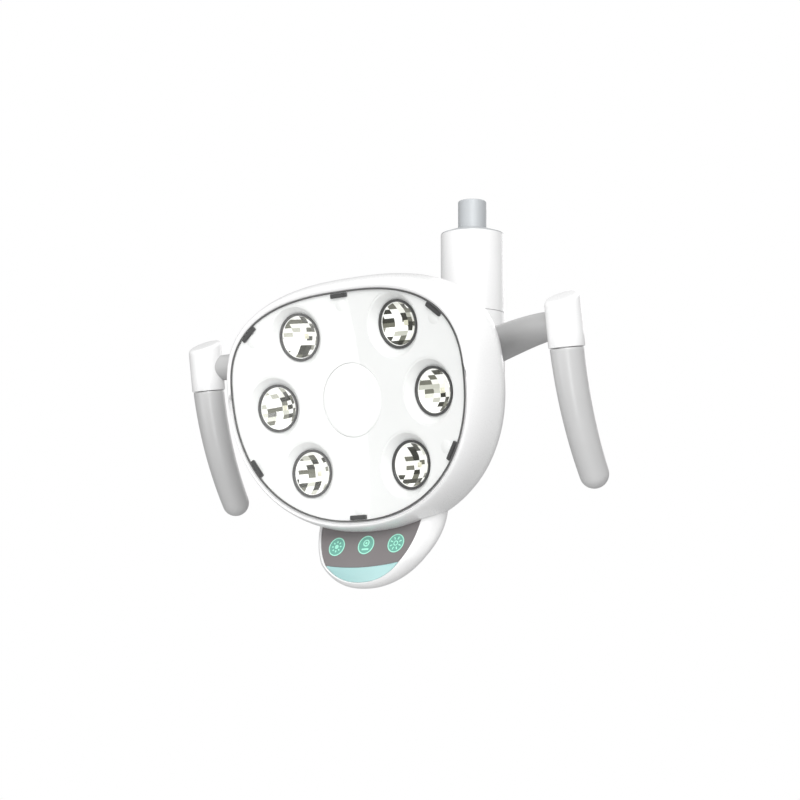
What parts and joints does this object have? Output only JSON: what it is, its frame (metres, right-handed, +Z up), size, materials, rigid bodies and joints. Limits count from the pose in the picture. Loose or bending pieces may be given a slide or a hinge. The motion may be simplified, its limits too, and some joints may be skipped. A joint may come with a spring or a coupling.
{
  "type": "dental operating light",
  "caption": "Dental operating light head with faceted LED reflectors, a touch-control chin and a handle on each side, tilting on a clevis and swivelling under a mounting barrel.",
  "frame": {"origin": "on the swivel axis at the barrel's shoulder, the plane that the arm's socket rests on", "axes": "+Z up along the mounting spigot and the swivel axis, -Y the way the lit face looks, +X to the right of a person facing the lamp"},
  "size_m": [0.4226, 0.2258, 0.3631],
  "materials": {
    "spigot_steel": "turned and satin-plated",
    "ring_paint": "satin paint",
    "white_paint": "smooth gloss powder coat",
    "hub_paint": "die casting with white gloss paint",
    "arm_paint": "die casting with pale grey gloss paint",
    "shell_white": "polished moulding",
    "grip_grey": "fine satin moulding",
    "face_grey": "satin moulding",
    "disc_grey": "polished moulding",
    "trim_dark": "dark satin moulding",
    "mirror": "faceted vacuum-metallised plastic",
    "clear_cover": "clear polished polycarbonate",
    "seal_rubber": "extruded strip",
    "panel_taupe": "back-printed film on moulding",
    "key_teal": "backlit printed window",
    "strip_cyan": "translucent diffuser",
    "sink_metal": "plain die casting",
    "housing_metal": "machined",
    "shaft_steel": "turned",
    "fastener_steel": "zinc plated",
    "bush_bronze": "sintered bronze",
    "friction_pad": "fibre friction material",
    "board_green": "solder-masked laminate",
    "board_parts": "moulded components",
    "led_yellow": "phosphor lens",
    "lead_red": "insulated lead"
  },
  "bodies": {
    "barrel": {"spigot": "spigot_steel", "shoulder_ring": "ring_paint", "barrel": "white_paint", "bearing_housing": "housing_metal", "upper_bush": "bush_bronze", "lower_bush": "bush_bronze", "friction_ring": "friction_pad", "swivel_stop_pin": "shaft_steel", "flange_screws": "fastener_steel", "barrel_screws": "fastener_steel"},
    "knuckle": {"swivel_shaft": "shaft_steel", "spring_washer": "fastener_steel", "shaft_nut": "fastener_steel", "knuckle_core": "housing_metal", "knuckle_shell": "white_paint", "core_screws": "fastener_steel", "knuckle_screw": "fastener_steel", "tilt_axle": "shaft_steel", "axle_nut": "fastener_steel", "tilt_washers": "friction_pad"},
    "head": {"yoke_hub": "hub_paint", "left_arm": "arm_paint", "right_arm": "arm_paint", "bezel": "shell_white", "rear_housing": "shell_white", "chin_shell": "shell_white", "left_cap": "shell_white", "right_cap": "shell_white", "left_pivot_cap": "shell_white", "right_pivot_cap": "shell_white", "left_grip": "grip_grey", "right_grip": "grip_grey", "reflector_plate": "face_grey", "centre_disc": "disc_grey", "trim_rings": "trim_dark", "cover_clips": "trim_dark", "reflector_1": "mirror", "reflector_2": "mirror", "reflector_3": "mirror", "reflector_4": "mirror", "reflector_5": "mirror", "reflector_6": "mirror", "front_cover": "clear_cover", "cover_seal": "seal_rubber", "control_panel": "panel_taupe", "touch_keys": "key_teal", "light_strip": "strip_cyan", "heat_sink": "sink_metal", "left_stem": "shaft_steel", "right_stem": "shaft_steel", "hub_screws": "fastener_steel", "housing_screws": "fastener_steel", "sink_screws": "fastener_steel", "tilt_bushes": "bush_bronze", "led_boards": "board_green", "driver_board": "board_green", "touch_board": "board_green", "driver_parts": "board_parts", "led_chips": "led_yellow", "led_harness": "lead_red"}
  },
  "joints": [
    {"name": "swivel", "type": "hinge", "parent": "barrel", "child": "knuckle", "pos_m": [0, 0, -0.078], "axis": [0, 0, 1], "range_deg": [-160, 160]},
    {"name": "tilt", "type": "hinge", "parent": "knuckle", "child": "head", "pos_m": [0, -0.052, -0.122], "axis": [1, 0, 0], "range_deg": [-50, 60]}
  ]
}
